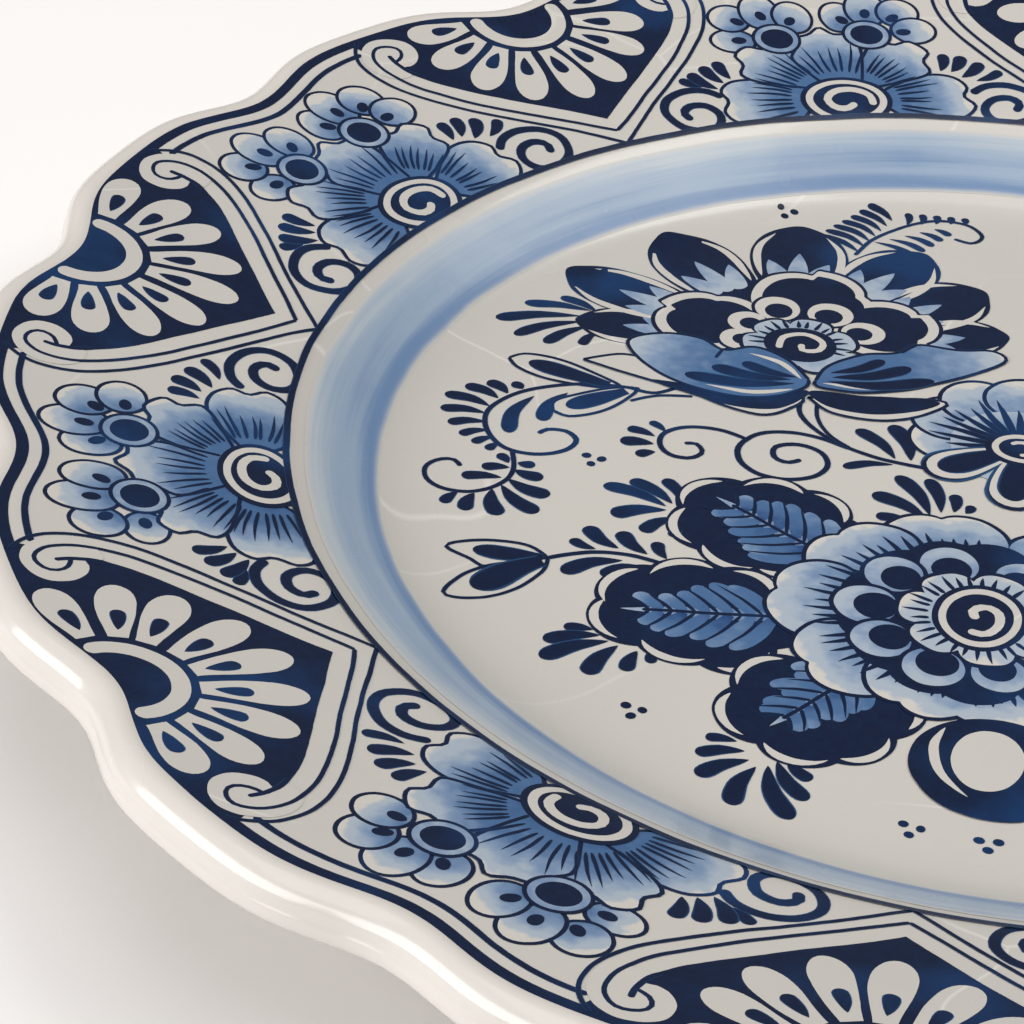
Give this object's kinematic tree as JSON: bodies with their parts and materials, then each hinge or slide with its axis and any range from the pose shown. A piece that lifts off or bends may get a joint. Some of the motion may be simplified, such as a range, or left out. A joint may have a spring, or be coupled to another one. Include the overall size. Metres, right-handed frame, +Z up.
{
  "type": "dinner plate",
  "caption": "Round dinner plate with a scalloped, rolled edge, a flat well, a shallow flange and a foot ring; white glaze with blue hand-painted flowers.",
  "frame": {"origin": "centre of the circle that the foot ring stands on, on the table", "axes": "+Z up out of the well; +X through a notch in the middle of a dark painted panel; the bouquet stands upright towards +Y"},
  "size_m": [0.2576, 0.2576, 0.0231],
  "materials": {
    "bare_clay": "matt fired clay, left bare where the ring stands",
    "white_glaze": "glossy warm white tin glaze with a faint crackle",
    "blue_wash": "thinned cobalt wash with brush streaks, glossy",
    "cobalt_paint": "dense cobalt painting, glossy"
  },
  "bodies": {
    "root": {"clay_body": "bare_clay", "foot_ring": "bare_clay", "front_glaze": "white_glaze", "back_glaze": "white_glaze", "rim_lip": "white_glaze", "wall_band": "blue_wash", "flange_line": "cobalt_paint", "edge_line": "cobalt_paint", "rim_panels": "cobalt_paint", "rim_flowers": "blue_wash", "bouquet": "cobalt_paint"}
  },
  "joints": []
}
